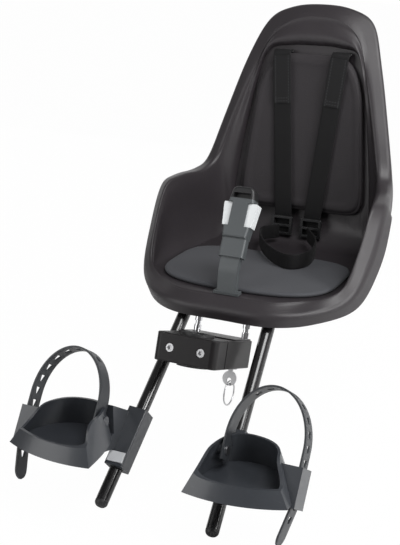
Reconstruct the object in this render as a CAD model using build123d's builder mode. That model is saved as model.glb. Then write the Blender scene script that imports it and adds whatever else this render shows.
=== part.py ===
from build123d import *
import os
from math import atan2, cos, pi, radians, sin, sqrt

# Front-mounted child bike seat. Millimetres, +Z up, -Y towards the front wheel, +X to the child's left.
# The origin is the centre of the bore that clamps the handlebar stem.

# General
clearance = 0.3            # running gap between separate pieces
fit_gap = 0.15             # gap round a pin or barrel in its hole

# Seat shell: a moulded tray, pan and back in one run, with side walls and a rolled rim
shell_wall = 3.5
rim_wall = 3.0
rim_round = 6.0            # how far the rim's rounding reaches from its two corners
round_share = 0.45         # most of a narrow face that the rounding takes up
pan_z = 42.0               # upper face of the pan
pan_front_y = 88.0
pan_rear_y = 300.0         # where the pan starts to curve up into the back
back_fillet = 42.0
back_recline = 8.7         # degrees
back_dish = 500.0          # radius of the hollow across the back
back_draw = 12.0           # the pan's half is at least this much wider than the foot of the back
pan_middle_y = 190.0
flat_share = 0.8           # how much of the pan's reach is dead flat

# Pads
pad_thickness = 8.0
pad_half_width = 118.0
pad_side_gap = 3.0         # from the pad to the foot of the side wall
pad_front_half = 73.0      # half width where the front edge has curved back by the pad's thickness
pad_front_y = 97.0
pad_rear_y = 250.0
pad_rear_corner = 44.0
pad_edge_fillet = 2.5
back_pad_thickness = 10.0
back_pad_gap = 0.9
back_pad_low_half = 95.0
back_pad_high_half = 78.0
back_pad_top_half = 67.0
back_pad_low_gap = 10.0    # from the pad to the foot of the side wall, below and at the shoulder
back_pad_high_gap = 3.0
back_pad_low = 8.0         # heights along the back
back_pad_shoulder = 172.0
back_pad_top = 226.0
back_pad_corner = 24.0
back_pad_low_corner = 16.0

# Harness
webbing_width = 25.0
webbing_thickness = 1.6
strap_top_x = 42.8
strap_low_x = 21.6
strap_low = -1.0           # lower end of the shoulder strap along the back
strap_slot_gap = 3.0       # above the back pad
strap_slot_margin = 0.6
strap_tail = 10.0          # length behind the back
anchor_radius = 2.5
anchor_length = 36.0
adjuster_width = 31.0
adjuster_height = 27.0
adjuster_thickness = 5.0
adjuster_bar = 4.0
adjuster_fillet = 0.8
hip_loop_height = 20.0
hip_loop_points = [(-21, 311), (-37, 282), (-4, 222), (38, 187), (60, 208), (52, 262), (22, 311)]

# Crotch post and buckle
post_width = 25.0
post_thickness = 9.0
post_foot_y = 89.5
post_bend_y = 94.5
post_bend_rise = 30.0      # above the pan
post_bend_radius = 30.0
post_foot_length = 11.0
post_foot_width = 34.0
post_foot_height = 3.5
collar_length = 24.0
collar_width = 33.0
collar_thickness = 14.0
collar_corner = 3.5
buckle_base_y = 114.0
buckle_base_rise = 64.0    # above the pan
buckle_length = 66.0
buckle_half_depth = 10.0
buckle_base_half = 16.0
buckle_waist_half = 19.5
buckle_top_half = 14.0
buckle_waist = 30.0        # height of the widest place along the buckle
buckle_waist_radius = 24.0
buckle_top_radius = 8.0
buckle_fillet = 3.5
buckle_skin = 2.2          # front wall over the buttons
buckle_slot_corner = 1.6
buckle_slot_width = 23.0
buckle_slot_height = 6.5
buckle_slot_up = 54.0
buckle_slot_depth = 7.0
button_low = 15.0          # along the buckle
button_high = 45.0
button_half_depth = 6.0
button_inner = 8.0         # inner end from the buckle's middle
button_window = 10.5       # half width of the skin between the two buttons
button_proud = 3.0
button_travel = 3.0
button_fillet = 1.2

# Leg frame: one bent tube
tube_radius = 8.0
tube_wall = 2.0
leg_tip_x = 72.3
leg_tip_y = -104.0
leg_tip_z = -167.0
leg_knee_x = 55.8
leg_knee_y = 108.3
frame_rear_y = 215.0
frame_bend = 34.0
plug_spigot = 14.0
plug_screw_radius = 2.5
plug_fillet = 6.4

# Carrier under the pan
carrier_thickness = 2.5
carrier_half_width = 68.0
carrier_front_y = 94.0
carrier_rear_y = 236.0
bridge_half_width = 46.0
bridge_front_y = 73.0
bridge_rear_y = 104.0
bridge_height = 16.0
bridge_slope = 14.0        # run of the sloped front under the lip
bridge_front_height = 4.5
seat_bolt_radius = 3.0
seat_bolt_head = 5.6
seat_bolt_hex = 2.1
seat_bolt_hex_depth = 1.7
seat_nut_radius = 5.0
seat_nut_height = 4.5
seat_bolt_x = 34.0
seat_bolt_front_y = 124.0
seat_bolt_rear_y = 184.0

# Mount block on the stem, tilted with the steering axis
steering_tilt = 20.0       # degrees
block_half_width = 40.0
block_half_height = 17.0
block_front = 31.0         # ahead of the bore axis
block_rear = 82.0
block_corner = 8.0
block_fillet = 1.5
clamp_gap = 2.0
stem_radius = 12.7
shim_radius = 15.2
shim_flange_radius = 20.0
shim_flange = 3.0
shim_split = 3.0
clamp_bolt_x = 20.0
clamp_bolt_radius = 3.0
clamp_head_radius = 5.0
clamp_head_height = 6.0
clamp_head_recess = 1.0
clamp_bolt_length = 42.0
hex_key_radius = 2.9
hex_key_depth = 3.0
lid_thickness = 1.6
lid_margin = 4.0
pin_radius = 4.5
pin_x = 32.5
pin_back = 69.0            # behind the bore axis
pin_depth = 30.0           # length inside the block
pin_groove = 1.2
pin_groove_width = 5.0
pin_groove_up = 9.0        # above the block
pin_grip = 11.0            # length inside the bridge

# Lock, key and ring
lock_x = 29.0
lock_back = 48.0
lock_radius = 7.5
lock_length = 22.0
lock_proud = 1.5
key_blade_width = 6.0
key_blade_thickness = 2.0
key_blade_length = 16.0
key_neck = 3.0
key_bow_radius = 9.0
key_hole_radius = 3.2
key_hole_drop = 2.5
ring_radius = 15.0
ring_wire = 0.9

# Footrests
sole_toe = [(58, -154), (113, -157), (175, -139)]
sole_heel = [(175, -139), (168, -102), (146, -73), (112, -62), (81, -69), (63, -104), (58, -154)]
rim_toe = [(75, -132), (112, -134), (150, -124)]
rim_heel = [(150, -124), (150, -100), (137, -77), (112, -67), (87, -71), (75, -92), (75, -132)]
foot_wall = 3.0
foot_bottom_z = -96.0
foot_lip_height = 17.0
foot_heel_height = 39.0
foot_rise_x = 75.0         # where the inner wall starts to climb
foot_rise_y = -152.0
foot_rise = 38.0           # run of the climb
foot_rise_skew = 12.0      # degrees, the outer wall climbs later
plate_corner = 4.0
sleeve_size = 25.0
sleeve_length = 76.0
sleeve_corner = 2.0
sleeve_height = 80.0       # middle of the sleeve along the leg, from its tip
web_inner_x = 75.0
web_outer_x = 94.0
web_front_y = -136.0
web_heel_y = -68.0
web_top_drop = 2.0         # below the heel's top edge
web_end_gap = 2.5          # short of the sleeve's upper end and of the release button
release_width = 21.0
release_length = 13.0
release_proud = 1.5
release_depth = 2.0
release_up = 4.0           # above the sleeve's lower end
release_travel = 1.2
plate_thickness = 3.0
plate_inner_x = 98.0
plate_outer_x = 138.0
plate_front_y = -147.0
plate_rear_y = -84.0
guard_gap = 1.5            # between the strap and the guard
guard_thickness = 2.5
guard_low = -50.0          # along the strap
guard_high = -6.0
guard_rib = 2.5
guard_root_x = 148.0

# Foot straps, each in a leaning plane
foot_strap_width = 24.0
foot_strap_thickness = 2.2
foot_strap_lean = 33.0     # degrees back from vertical
foot_strap_y = -88.0
foot_strap_z = -66.0
foot_strap_root_x = 82.0
foot_strap_outer_x = 173.2
foot_strap_shoulder = 12.0
foot_strap_rise = 74.0
foot_strap_root = -16.0
foot_strap_turn = -46.0    # where the tail bends in
foot_strap_tail = -92.0
foot_strap_tail_x = 164.0
strap_hole_width = 8.0
strap_hole_height = 6.5
strap_hole_angle = 72.0    # degrees
strap_hole_count = 13
strap_hole_first = 30.0    # from the tail's end
strap_hole_pitch = 15.5
peg_radius = 2.6
peg_hole = 3               # number of the hole that sits on the peg
rivet_radius = 2.5
rivet_head_radius = 5.0
rivet_head = 1.5
rivet_up = -5.0
rivet_grip = 5.0
boss_radius = 7.0
boss_root_x = 72.0


def save(part, name):
    """Label a finished piece and write it."""
    part.label = name
    export_step(part, f"parts/{name}.step")


def save_pair(part, name):
    """Write a piece of the child's left side and its mirror image."""
    save(part, f"{name}_left")
    save(mirror(part, about=Plane.YZ), f"{name}_right")


os.makedirs("parts", exist_ok=True)

# The tray: a middle line from the pan's front edge to the top of the back
back_sweep = pi / 2 - radians(back_recline)
pan_length = pan_rear_y - pan_front_y
back_start = pan_length + back_fillet * back_sweep


def seat_turn(run):
    """Angle of the tray's middle line at a run from the pan's front edge."""
    return min(max(run - pan_length, 0.0) / back_fillet, back_sweep)


def inward(run):
    """Unit normal of the middle line, towards the child."""
    return Vector(0, -sin(seat_turn(run)), cos(seat_turn(run)))


def along(run):
    """Unit direction of the middle line, front to top."""
    return Vector(0, cos(seat_turn(run)), sin(seat_turn(run)))


def dish_depth(x):
    """How far the hollow back comes forward at a distance from its middle."""
    return back_dish - sqrt(back_dish**2 - x**2)


def tray(x, run, offset=0.0):
    """Point of the tray's inner face, moved inwards by an offset."""
    turn = seat_turn(run)
    y = pan_front_y + min(run, pan_length) + back_fillet * sin(turn)
    z = pan_z + back_fillet * (1 - cos(turn))
    middle = Vector(x, y, z) + along(run) * max(run - back_start, 0.0)
    return middle + inward(run) * (offset + dish_depth(x) * turn / back_sweep)


# Half of the rim, front centre to top centre. Each station has the outer edge of the rim's face,
# its inner crest, the foot of the side wall on the tray (x, run), the wall's knee (inwards, outwards)
# and the vector of the skirt that hangs behind the rim.
low_half = back_pad_low_half + back_pad_low_gap
pan_half = max(pad_half_width + pad_side_gap, low_half + back_draw)
high_half = back_pad_high_half + back_pad_high_gap
mid_half = (low_half + high_half) / 2 + back_pad_high_gap
rim_stations = [
    ((0, 67, 28), (0, 79, 38), (0, 2), (0, 5), (0, 1.5, -14)),
    ((66, 69, 28.5), (62, 82, 38.5), (60, 3), (0, 6), (0, 2.5, -14.5)),
    ((pan_half - 9, 94, 31.5), (pan_half - 19, 109, 41), (pan_half - 25, 24), (0, 9), (1, 9, -16)),
    ((pan_half + 25, 138, 41), (pan_half + 11, 137, 55), (pan_half - 4, 56), (1, 13), (2, 20, -17)),
    ((pan_half + 37, 180, 84), (pan_half + 20.5, 168, 96), (pan_half, 92), (2, 15), (3, 26, -15)),
    ((pan_half + 38.5, 216, 133), (pan_half + 22, 203, 139), (pan_half, 124), (2, 15), (3, 19, -16)),
    ((pan_half + 34, 246, 142.5), (pan_half + 14.5, 243, 146), (pan_half - 1, 154), (2, 15), (2, 4, -22)),
    ((pan_half + 24.5, 287, 143.5), (pan_half + 4, 284, 145), (pan_half - 6, 198), (3, 12), (1, 4, -20)),
    ((low_half + 32, 316, 155), (low_half + 12, 311, 161), (low_half, 252), (7, 7), (-2, 11, -11)),
    ((mid_half + 26, 340.5, 213), (mid_half + 8.5, 329.5, 210), (mid_half, 345), (12, 4), (-6, 12, -3)),
    ((high_half + 19, 369, 291), (high_half + 2, 357, 282), (high_half, 444), (14, 2), (-6, 12, -3)),
    ((78, 396.5, 344), (63, 379, 328), (66, 497.5), (15, 2), (-6, 10, -7)),
    ((44, 402.5, 363), (36, 386, 350), (36, 507.5), (16, 2), (-3, 10, -9)),
    ((0, 402.5, 368), (0, 388, 356), (0, 509), (16, 2), (0, 10, -9)),
]
station_steps = 3          # places worked out between two stations
tray_steps = 16
tray_crowding = 1.5        # draws the tray's rings closer together near the pan
loft_steps = 4             # rings joined by one smooth surface
wall_steps = 3
round_steps = 4
knee_reach = 0.6           # most of a low wall's width that its knee takes up


def flipped(vector):
    """Mirror image across the seat's middle plane."""
    return Vector(-vector.X, vector.Y, vector.Z)


def spread(column):
    """Smooth half ring through one column of the stations, with places between them."""
    ahead = [flipped(Vector(*column[1]))]
    behind = [flipped(Vector(*column[-2]))]
    points = ahead + [Vector(*value) for value in column] + behind
    half = []
    for p0, p1, p2, p3 in zip(points, points[1:], points[2:], points[3:]):
        bend = p1 * 3 - p0 - p2 * 3 + p3
        slope = p0 * 2 - p1 * 5 + p2 * 4 - p3
        for step in range(station_steps):
            part = step / station_steps
            half.append(p1 + ((p2 - p0) * part + slope * part**2 + bend * part**3) * 0.5)
    return half + [points[-2]]


edge_half = spread([station[0] for station in rim_stations])
crest_half = spread([station[1] for station in rim_stations])
foot_half = spread([(*station[2], 0) for station in rim_stations])
knee_half = spread([(0, *station[3]) for station in rim_stations])
skirt_half = [edge + skirt for edge, skirt in zip(edge_half, spread([row[4] for row in rim_stations]))]
last_place = len(edge_half) - 1


def flat_edge(place):
    """Place on the edge of the flat middle of the pan."""
    foot = foot_half[place]
    foot_y = pan_front_y + min(foot.Y, pan_length)
    return Vector(foot.X * flat_share, pan_middle_y + (foot_y - pan_middle_y) * flat_share, pan_z)


def tray_half(share, offset):
    """Half a ring on the tray, a share of the way from the flat middle to the foot of the wall."""
    half = []
    for place, foot in enumerate(foot_half):
        start = flat_edge(place)
        start_run = start.Y - pan_front_y
        x = start.X + share * (foot.X - start.X)
        half.append(tray(x, start_run + share * (foot.Y - start_run), offset))
    return half


def knee(place, outer):
    """Control point that bends the side wall up from the tray."""
    foot, start = foot_half[place], flat_edge(place)
    step, flare = knee_half[place].Y, knee_half[place].Z
    leave = Vector(foot.X - start.X, 0, 0) + along(foot.Y) * (foot.Y - start.Y + pan_front_y)
    if outer:
        flare, step = flare + shell_wall, min(step, shell_wall / 2) - shell_wall
    low = tray(foot.X, foot.Y)
    flare = min(flare, knee_reach * (crest_half[place] - low).length)
    return low + inward(foot.Y) * step + leave.normalized() * flare


def tangent(half, place):
    """Direction along a half ring, square to the mirror plane at both ends."""
    before = half[place - 1] if place > 0 else flipped(half[1])
    after = half[place + 1] if place < last_place else flipped(half[-2])
    return (after - before).normalized()


def behind_corner(corner, first, second):
    """Point a rim's thickness behind a corner where two faces with these normals meet."""
    return corner - (first + second) * (rim_wall / (1 + first.dot(second)))


def eased(corner, towards):
    """Point where the rounding of a corner ends on the way to a neighbour."""
    way = towards - corner
    return corner + way.normalized() * min(rim_round, way.length * round_share)


inner_crest_half = []
inner_edge_half = []
inner_skirt_half = []
crest_rounding = []
edge_rounding = []
for place in range(last_place + 1):
    edge, crest, skirt = edge_half[place], crest_half[place], skirt_half[place]
    crest_run = tangent(crest_half, place)
    wall_knee = knee(place, False)
    wall_normal = (crest - wall_knee).cross(crest_run).normalized()
    face_normal = (edge - crest).cross(crest_run).normalized()
    skirt_normal = (skirt - edge).cross(tangent(edge_half, place)).normalized()
    inner_crest_half.append(behind_corner(crest, wall_normal, face_normal))
    inner_edge_half.append(behind_corner(edge, face_normal, skirt_normal))
    inner_skirt_half.append(skirt - skirt_normal * rim_wall)
    crest_rounding.append((eased(crest, wall_knee), crest, eased(crest, edge)))
    edge_rounding.append((eased(edge, crest), edge, eased(edge, skirt)))


def bow(start, middle, stop, share):
    """Point on the curve that leaves the start and reaches the stop in the directions of the middle."""
    return start * (1 - share)**2 + middle * (2 * share * (1 - share)) + stop * share**2


def wall_half(share, outer):
    """Half a ring on the side wall, a share of the way from its foot to the crest."""
    half = []
    for place, foot in enumerate(foot_half):
        low = tray(foot.X, foot.Y, -shell_wall if outer else 0.0)
        top = inner_crest_half[place] if outer else crest_rounding[place][0]
        half.append(bow(low, knee(place, outer), top, share))
    return half


def ring(half):
    """Closed smooth curve through half a ring and its mirror image."""
    points = half + [flipped(point) for point in reversed(half[1:-1])]
    with BuildLine() as line:
        add(Edge.make_spline(points, periodic=True, parameters=list(range(len(points) + 1))))
    return line.wire()


tray_shares = [(step / tray_steps)**tray_crowding for step in range(tray_steps + 1)]
tray_inner = [ring(tray_half(share, 0.0)) for share in tray_shares]
tray_outer = [ring(tray_half(share, -shell_wall)) for share in tray_shares]
wall_inner = [tray_inner[-1]] + [ring(wall_half(n / wall_steps, False)) for n in range(1, wall_steps + 1)]
wall_outer = [tray_outer[-1]] + [ring(wall_half(n / wall_steps, True)) for n in range(1, wall_steps + 1)]
round_shares = [step / round_steps for step in range(round_steps + 1)]
crest_rings = [ring([bow(*corner, share) for corner in crest_rounding]) for share in round_shares[1:]]
edge_rings = [ring([bow(*corner, share) for corner in edge_rounding]) for share in round_shares]
crest_rings.insert(0, wall_inner[-1])
back_rings = [ring(half) for half in (skirt_half, inner_skirt_half, inner_edge_half)]
rim_chains = [[crest_rings[-1], edge_rings[0]], [edge_rings[-1], *back_rings, wall_outer[-1]]]

shell_faces = [Face(tray_inner[0]), Face(tray_outer[0])]
for rings in (tray_inner, tray_outer, wall_inner, wall_outer, crest_rings, edge_rings):
    for first in range(0, len(rings) - 1, loft_steps):
        shell_faces += Shell.make_loft(rings[first:first + loft_steps + 1]).faces()
for chain in rim_chains:
    for first_ring, second_ring in zip(chain, chain[1:]):
        shell_faces += Shell.make_loft([first_ring, second_ring], ruled=True).faces()

# Plane of the back, with its own Y up the back and its own Z towards the child
back_plane = Plane(tray(0, back_start), x_dir=(1, 0, 0), z_dir=inward(back_start))
strap_slot_up = back_pad_top + strap_slot_gap
strap_depth = back_pad_thickness + dish_depth(strap_top_x + webbing_width / 2) + clearance
pan_under_z = pan_z - shell_wall
seat_bolt_rows = (seat_bolt_front_y, seat_bolt_rear_y)
seat_bolt_spots = [(side * seat_bolt_x, y) for y in seat_bolt_rows for side in (-1, 1)]

with BuildPart() as seat_shell:
    add(Solid(Shell(shell_faces)))
    with BuildSketch(back_plane.offset(back_pad_thickness / 2)):
        with Locations((-strap_top_x, strap_slot_up), (strap_top_x, strap_slot_up)):
            SlotOverall(webbing_width + 2 * strap_slot_margin, webbing_thickness + 2 * strap_slot_margin)
    extrude(amount=-back_pad_thickness - shell_wall, mode=Mode.SUBTRACT)
    with Locations(*[(x, y, pan_z) for x, y in seat_bolt_spots]):
        CounterSinkHole(seat_bolt_radius + fit_gap, seat_bolt_head + fit_gap, counter_sink_angle=90)
save(seat_shell.part, "seat_shell")

# Seat pad
with BuildPart() as seat_pad:
    with BuildSketch(Plane.XY.offset(pan_z + clearance)) as pad_outline:
        with BuildLine():
            pad_side_y = (pad_front_y + pad_rear_y) / 2
            Line((0, pad_rear_y), (pad_half_width, pad_rear_y))
            Line((pad_half_width, pad_rear_y), (pad_half_width, pad_side_y))
            Spline((pad_half_width, pad_side_y), (pad_front_half, pad_front_y + pad_thickness),
                   (0, pad_front_y), tangents=[(0, -1), (-1, 0)])
            mirror(about=Plane.YZ)
        make_face()
        fillet(pad_outline.vertices().group_by(Axis.Y)[-1], pad_rear_corner)
    extrude(amount=pad_thickness)
    fillet(seat_pad.faces().sort_by(Axis.Z)[-1].edges(), pad_edge_fillet)
save(seat_pad.part, "seat_pad")

# Back pad: a slab with the hollow of the back, cut to its outline
with BuildPart() as back_pad:
    with BuildSketch(back_plane.offset(clearance)) as back_outline:
        with BuildLine():
            Polyline((0, back_pad_low), (back_pad_low_half, back_pad_low),
                     (back_pad_high_half, back_pad_shoulder), (back_pad_top_half, back_pad_top),
                     (0, back_pad_top))
            mirror(about=Plane.YZ)
        make_face()
        fillet(back_outline.vertices().group_by(Axis.Y)[-1], back_pad_corner)
        fillet(back_outline.vertices().group_by(Axis.Y)[0], back_pad_low_corner)
    extrude(amount=back_pad_thickness + dish_depth(back_pad_low_half) + clearance)
    hollow_base = Plane(back_plane.from_local_coords((0, back_pad_low - clearance, back_dish)),
                        x_dir=(1, 0, 0), z_dir=along(back_start))
    with BuildSketch(hollow_base):
        Circle(back_dish - back_pad_gap)
        Circle(back_dish - back_pad_thickness, mode=Mode.SUBTRACT)
    extrude(amount=back_pad_top, mode=Mode.INTERSECT)
save(back_pad.part, "back_pad")

# Shoulder strap: down the front of the back pad, over its top edge and out through the slot
with BuildPart() as shoulder_strap:
    half_web = webbing_width / 2
    with BuildSketch(back_plane.offset(strap_depth)):
        with BuildLine():
            Polyline((strap_low_x - half_web, strap_low), (strap_low_x + half_web, strap_low),
                     (strap_top_x + half_web, strap_slot_up), (strap_top_x - half_web, strap_slot_up),
                     close=True)
        make_face()
    extrude(amount=webbing_thickness)
    with BuildSketch(back_plane.offset(strap_depth + webbing_thickness)):
        with Locations((strap_top_x, strap_slot_up)):
            Rectangle(webbing_width, webbing_thickness)
    extrude(amount=-(strap_depth + webbing_thickness + strap_tail))
save_pair(shoulder_strap.part, "shoulder_strap")

# Anchor rod that keeps the strap's end behind the back
anchor_back = shell_wall + anchor_radius + clearance
anchor_start = back_plane.from_local_coords(
    (strap_top_x - anchor_length / 2, strap_slot_up + webbing_thickness / 2 + anchor_radius + fit_gap,
     dish_depth(strap_top_x - anchor_length / 2) - anchor_back))
with BuildPart() as strap_anchor:
    with BuildSketch(Plane(anchor_start, x_dir=(0, 1, 0), z_dir=(1, 0, 0))):
        Circle(anchor_radius)
    extrude(amount=anchor_length)
save_pair(strap_anchor.part, "strap_anchor")

# Strap adjuster: a ladder frame with three bars, hanging on the strap's lower end
adjuster_up = strap_low - clearance - adjuster_height / 2
with BuildPart() as strap_adjuster:
    with BuildSketch(back_plane.offset(strap_depth)):
        with Locations((strap_low_x, adjuster_up)):
            RectangleRounded(adjuster_width, adjuster_height, adjuster_bar / 2)
            window = (adjuster_height - 3 * adjuster_bar) / 2
            with GridLocations(0, window + adjuster_bar, 1, 2):
                Rectangle(adjuster_width - 2 * adjuster_bar, window, mode=Mode.SUBTRACT)
    extrude(amount=adjuster_thickness)
    fillet(strap_adjuster.edges().filter_by(Axis.X), adjuster_fillet)
save_pair(strap_adjuster.part, "strap_adjuster")

# Hip webbing: a loose loop standing on edge on the seat pad
with BuildPart() as hip_strap:
    with BuildSketch(Plane.XY.offset(pan_z + pad_thickness + 2 * clearance)):
        with BuildLine():
            Spline(*hip_loop_points)
        trace(line_width=webbing_thickness)
    extrude(amount=hip_loop_height)
save(hip_strap.part, "hip_strap")

# Crotch post: a bent flat stalk with a foot and a collar
post_path = [(post_foot_y, pan_z), (post_bend_y, pan_z + post_bend_rise),
             (buckle_base_y, pan_z + buckle_base_rise)]
buckle_lean = atan2(buckle_base_y - post_bend_y, buckle_base_rise - post_bend_rise)
buckle_plane = Plane((0, buckle_base_y, pan_z + buckle_base_rise), x_dir=(1, 0, 0),
                     z_dir=(0, -cos(buckle_lean), sin(buckle_lean)))
with BuildPart() as crotch_post:
    with BuildSketch(Plane.YZ):
        with BuildLine():
            FilletPolyline(*post_path, radius=post_bend_radius)
        trace(line_width=post_thickness)
        Rectangle(2 * pad_front_y, 2 * pan_z, mode=Mode.SUBTRACT)
    extrude(amount=post_width / 2, both=True)
    with Locations((0, post_foot_y, pan_z + post_foot_height / 2)):
        Box(post_foot_width, post_foot_length, post_foot_height)
    with BuildSketch(Plane(buckle_plane.origin, x_dir=(1, 0, 0), z_dir=-buckle_plane.y_dir)):
        RectangleRounded(collar_width, collar_thickness, collar_corner)
    extrude(amount=collar_length)
save(crotch_post.part, "crotch_post")


button_outer = buckle_waist_half + button_proud
pocket_inner = button_inner - button_travel - clearance
pocket_middle = (pocket_inner + button_outer + clearance) / 2
pocket_up = (button_low + button_high) / 2

with BuildSketch(buckle_plane) as buckle_face:
    with BuildLine():
        Polyline((0, 0), (buckle_base_half, 0), (buckle_waist_half, buckle_waist),
                 (buckle_top_half, buckle_length), (0, buckle_length))
        mirror(about=Plane.YZ)
    make_face()
    fillet(buckle_face.vertices().group_by(Axis.Y)[-1], buckle_top_radius)
    for side in (0, -1):
        fillet(buckle_face.vertices().group_by(Axis.X)[side], buckle_waist_radius)

with BuildSketch(buckle_plane) as button_pockets:
    with Locations((pocket_middle, pocket_up), (-pocket_middle, pocket_up)):
        Rectangle(button_outer + clearance - pocket_inner, button_high - button_low + 2 * clearance)

window_middle = (button_window + button_outer + clearance) / 2
with BuildSketch(buckle_plane) as button_windows:
    with Locations((window_middle, pocket_up), (-window_middle, pocket_up)):
        Rectangle(button_outer + clearance - button_window, button_high - button_low + 2 * clearance)

# Buckle: two half covers with a side pocket for each button and a slot for the harness tongue
with BuildPart() as buckle_front:
    extrude(buckle_face.sketch, amount=buckle_half_depth)
    fillet(buckle_front.faces().sort_by(Axis((0, 0, 0), buckle_plane.z_dir))[-1].edges(), buckle_fillet)
    with BuildSketch(buckle_plane.offset(buckle_half_depth)):
        with Locations((0, buckle_slot_up)):
            RectangleRounded(buckle_slot_width, buckle_slot_height, buckle_slot_corner)
    extrude(amount=-buckle_slot_depth, mode=Mode.SUBTRACT)
    extrude(button_pockets.sketch, amount=buckle_half_depth - buckle_skin, mode=Mode.SUBTRACT)
    extrude(button_windows.sketch, amount=buckle_half_depth, mode=Mode.SUBTRACT)
save(buckle_front.part, "buckle_front")

with BuildPart() as buckle_rear:
    extrude(buckle_face.sketch, amount=-buckle_half_depth)
    fillet(buckle_rear.faces().sort_by(Axis((0, 0, 0), buckle_plane.z_dir))[0].edges(), buckle_fillet)
    extrude(button_pockets.sketch, amount=-button_half_depth - clearance, mode=Mode.SUBTRACT)
save(buckle_rear.part, "buckle_rear")

# Push button in the buckle's side
with BuildPart() as buckle_button:
    with BuildSketch(buckle_plane.offset(-button_half_depth)):
        with BuildLine():
            Polyline((button_inner, button_low), (button_outer - button_proud, button_low),
                     (button_outer, button_high - button_proud), (button_outer, button_high),
                     (button_inner, button_high), close=True)
        make_face()
    extrude(amount=button_half_depth + buckle_half_depth - buckle_skin - clearance)
    button_corners = buckle_button.edges().filter_by(Axis((0, 0, 0), buckle_plane.z_dir))
    fillet(button_corners.group_by(Axis.X)[-1], button_fillet)
save_pair(buckle_button.part, "buckle_button")

# Leg frame: a bent tube, down to both footrests
frame_z = pan_under_z - carrier_thickness - tube_radius - fit_gap
leg_tip = Vector(leg_tip_x, leg_tip_y, leg_tip_z)
leg_knee = Vector(leg_knee_x, leg_knee_y, frame_z)
leg_up = (leg_knee - leg_tip).normalized()
frame_rear = Vector(leg_knee_x, frame_rear_y, frame_z)
with BuildPart() as leg_frame:
    with BuildLine():
        FilletPolyline(leg_tip, leg_knee, frame_rear, flipped(frame_rear), flipped(leg_knee),
                       flipped(leg_tip), radius=frame_bend)
    with BuildSketch(Plane(leg_tip, z_dir=leg_up)):
        Circle(tube_radius)
        Circle(tube_radius - tube_wall, mode=Mode.SUBTRACT)
    sweep()
save(leg_frame.part, "leg_frame")

# Rounded plug in each tube end, with the head of its screw
leg_plane = Plane(leg_tip, x_dir=(1, 0, 0), z_dir=leg_up)
with BuildPart() as leg_plug:
    with BuildSketch(leg_plane):
        Circle(tube_radius - tube_wall - fit_gap)
    extrude(amount=plug_spigot)
    with BuildSketch(leg_plane):
        Circle(tube_radius)
    extrude(amount=-tube_radius)
    fillet(leg_plug.faces().sort_by(Axis.Z)[0].edges(), plug_fillet)
    with BuildSketch(leg_plane.offset(-tube_radius)):
        Circle(plug_screw_radius)
    extrude(amount=plug_screw_radius, mode=Mode.SUBTRACT)
save_pair(leg_plug.part, "leg_plug")

# Carrier plate between the pan and the leg frame
with BuildPart() as seat_carrier:
    with BuildSketch(Plane.XY.offset(pan_under_z)):
        with Locations((0, (carrier_front_y + carrier_rear_y) / 2)):
            RectangleRounded(2 * carrier_half_width, carrier_rear_y - carrier_front_y, tube_radius)
        with Locations(*seat_bolt_spots):
            Circle(seat_bolt_radius + fit_gap, mode=Mode.SUBTRACT)
    extrude(amount=-carrier_thickness)
save(seat_carrier.part, "seat_carrier")

# Planes of the mount block: its Z runs up the steering axis and its Y backwards
tilt = radians(steering_tilt)
block_plane = Plane((0, 0, 0), x_dir=(1, 0, 0), z_dir=(0, sin(tilt), cos(tilt)))
pin_foot = block_half_height - pin_depth
bridge_top_z = pan_under_z - carrier_thickness
bridge_bottom_z = bridge_top_z - bridge_height
bridge_up = (bridge_bottom_z + pin_back * sin(tilt)) / cos(tilt)
pin_length = bridge_up + pin_grip - pin_foot

# Bridge under the carrier that holds the two pins
with BuildPart() as pin_bridge:
    with BuildSketch(Plane.YZ):
        with BuildLine():
            Polyline((bridge_front_y, bridge_bottom_z), (bridge_rear_y, bridge_bottom_z),
                     (bridge_rear_y, bridge_top_z), (bridge_front_y + bridge_slope, bridge_top_z),
                     (bridge_front_y, bridge_bottom_z + bridge_front_height), close=True)
        make_face()
    extrude(amount=bridge_half_width, both=True)
    with BuildSketch(block_plane.offset(pin_foot)):
        with Locations((pin_x, pin_back), (-pin_x, pin_back)):
            Circle(pin_radius + fit_gap)
    extrude(amount=pin_length + fit_gap, mode=Mode.SUBTRACT)
save(pin_bridge.part, "pin_bridge")

# Chromed pin with the groove that the lock grips
with BuildPart() as mount_pin:
    with BuildSketch(block_plane.offset(pin_foot)):
        with Locations((pin_x, pin_back)):
            Circle(pin_radius)
    extrude(amount=pin_length)
    chamfer(mount_pin.faces().sort_by(Axis.Z)[0].edges(), pin_groove)
    with BuildSketch(block_plane.offset(block_half_height + pin_groove_up)):
        with Locations((pin_x, pin_back)):
            Circle(pin_radius)
            Circle(pin_radius - pin_groove, mode=Mode.SUBTRACT)
    extrude(amount=pin_groove_width, mode=Mode.SUBTRACT)
save_pair(mount_pin.part, "mount_pin")

# Countersunk bolts through pan and carrier, each with its nut
bolt_length = shell_wall + carrier_thickness + seat_nut_height
for number, (x, y) in enumerate(seat_bolt_spots, start=1):
    with BuildPart() as seat_bolt:
        with BuildSketch(Plane((x, y, pan_z))):
            Circle(seat_bolt_head)
        extrude(amount=-(seat_bolt_head - seat_bolt_radius), taper=45)
        with BuildSketch(Plane((x, y, pan_z))):
            Circle(seat_bolt_radius)
        extrude(amount=-bolt_length)
        with BuildSketch(Plane((x, y, pan_z))):
            RegularPolygon(seat_bolt_hex, 6)
        extrude(amount=-seat_bolt_hex_depth, mode=Mode.SUBTRACT)
    save(seat_bolt.part, f"seat_bolt_{number}")
    with BuildPart() as seat_nut:
        with BuildSketch(Plane((x, y, pan_under_z - carrier_thickness))):
            RegularPolygon(seat_nut_radius, 6)
            Circle(seat_bolt_radius + fit_gap, mode=Mode.SUBTRACT)
        extrude(amount=-seat_nut_height)
    save(seat_nut.part, f"seat_nut_{number}")

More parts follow.
